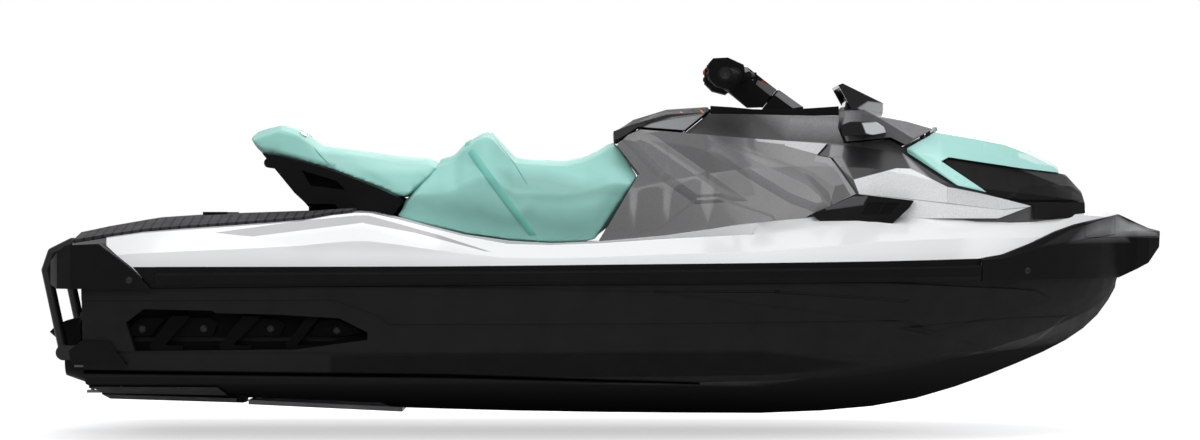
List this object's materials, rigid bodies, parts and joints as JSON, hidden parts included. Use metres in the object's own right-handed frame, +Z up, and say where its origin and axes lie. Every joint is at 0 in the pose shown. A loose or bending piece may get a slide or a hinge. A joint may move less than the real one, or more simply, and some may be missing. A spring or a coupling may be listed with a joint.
{
  "type": "personal watercraft",
  "caption": "Sit-down jet-driven watercraft with a stepped seat, boarding platform, handlebar, hatches and a ducted pump.",
  "frame": {"origin": "on the centre line, amidships, at the waterline", "axes": "+X to the bow, +Y to port, +Z up"},
  "size_m": [3.444, 1.2548, 1.0966],
  "materials": {
    "black_hull": "satin",
    "white_deck": "gloss",
    "black_trim": "textured",
    "teal_gloss": "gloss",
    "grey_panel": "gloss metallic",
    "silver_panel": "gloss metallic",
    "teal_seat": "marine vinyl",
    "black_rubber": "grooved",
    "dark_lens": "polished",
    "stainless": "polished",
    "aluminium": "cast",
    "engine_grey": "cast",
    "black_tube": "satin"
  },
  "bodies": {
    "craft": {"hull": "black_hull", "deck": "white_deck", "engine": "engine_grey", "bow_bumper": "black_trim", "stern_bumper": "black_trim", "rub_rails": "black_trim", "side_steps": "black_trim", "stern_corners": "black_trim", "bottom_shoes": "black_trim", "ride_plate": "aluminium", "pump_housing": "aluminium", "pump_venturi": "aluminium", "intake_grate": "aluminium", "console": "black_trim", "side_panel_left": "grey_panel", "side_panel_right": "grey_panel", "wing_panels": "silver_panel", "hood": "teal_gloss", "nose_grille": "black_trim", "air_intakes": "black_trim", "rear_seat": "teal_seat", "rider_seat": "teal_seat", "seat_base": "black_trim", "grab_rail": "black_trim", "platform_mat": "black_rubber", "platform_latches": "black_trim", "footwell_mats": "black_rubber", "steering_column": "black_trim", "ladder_lugs": "black_tube", "stern_eyes": "black_tube", "tow_eye": "black_tube"},
    "impeller": {"impeller": "stainless"},
    "nozzle": {"steering_nozzle": "aluminium"},
    "bucket": {"reverse_bucket": "black_trim"},
    "glove_lid": {"glove_box_lid": "black_trim"},
    "front_hatch": {"front_lid": "black_trim", "hatch_trim": "silver_panel", "windshield": "dark_lens", "gauge": "dark_lens", "mirrors": "dark_lens"},
    "handlebar": {"handlebar": "black_tube", "handlebar_neck": "black_trim", "grips": "black_rubber", "bar_controls": "black_trim"},
    "ladder": {"boarding_ladder": "black_tube"}
  },
  "joints": [
    {"name": "steering", "type": "hinge", "parent": "craft", "child": "handlebar", "pos_m": [0.52785, 0, 0.7348], "axis": [-0.7986, 0, 0.6018], "range_deg": [-20, 20]},
    {"name": "nozzle_steer", "type": "hinge", "parent": "craft", "child": "nozzle", "pos_m": [-1.58, 0, -0.075], "axis": [0, 0, 1], "range_deg": [-18, 18]},
    {"name": "bucket_swing", "type": "hinge", "parent": "craft", "child": "bucket", "pos_m": [-1.6, 0, -0.075], "axis": [0, -1, 0], "range_deg": [0, 70]},
    {"name": "impeller_spin", "type": "hinge", "parent": "craft", "child": "impeller", "pos_m": [-1.27, 0, -0.075], "axis": [1, 0, 0], "continuous": true},
    {"name": "front_hatch_hinge", "type": "hinge", "parent": "craft", "child": "front_hatch", "pos_m": [1.012, 0, 0.647], "axis": [0, 1, 0], "range_deg": [0, 50]},
    {"name": "glove_lid_hinge", "type": "hinge", "parent": "craft", "child": "glove_lid", "pos_m": [0.328, 0, 0.697], "axis": [0, 1, 0], "range_deg": [0, 45]},
    {"name": "ladder_swing", "type": "hinge", "parent": "craft", "child": "ladder", "pos_m": [-1.636, 0, -0.046], "axis": [0, -1, 0], "range_deg": [0, 150]}
  ],
  "couplings": [
    {"joint": "nozzle_steer", "follows": "steering", "ratio": -0.9}
  ]
}
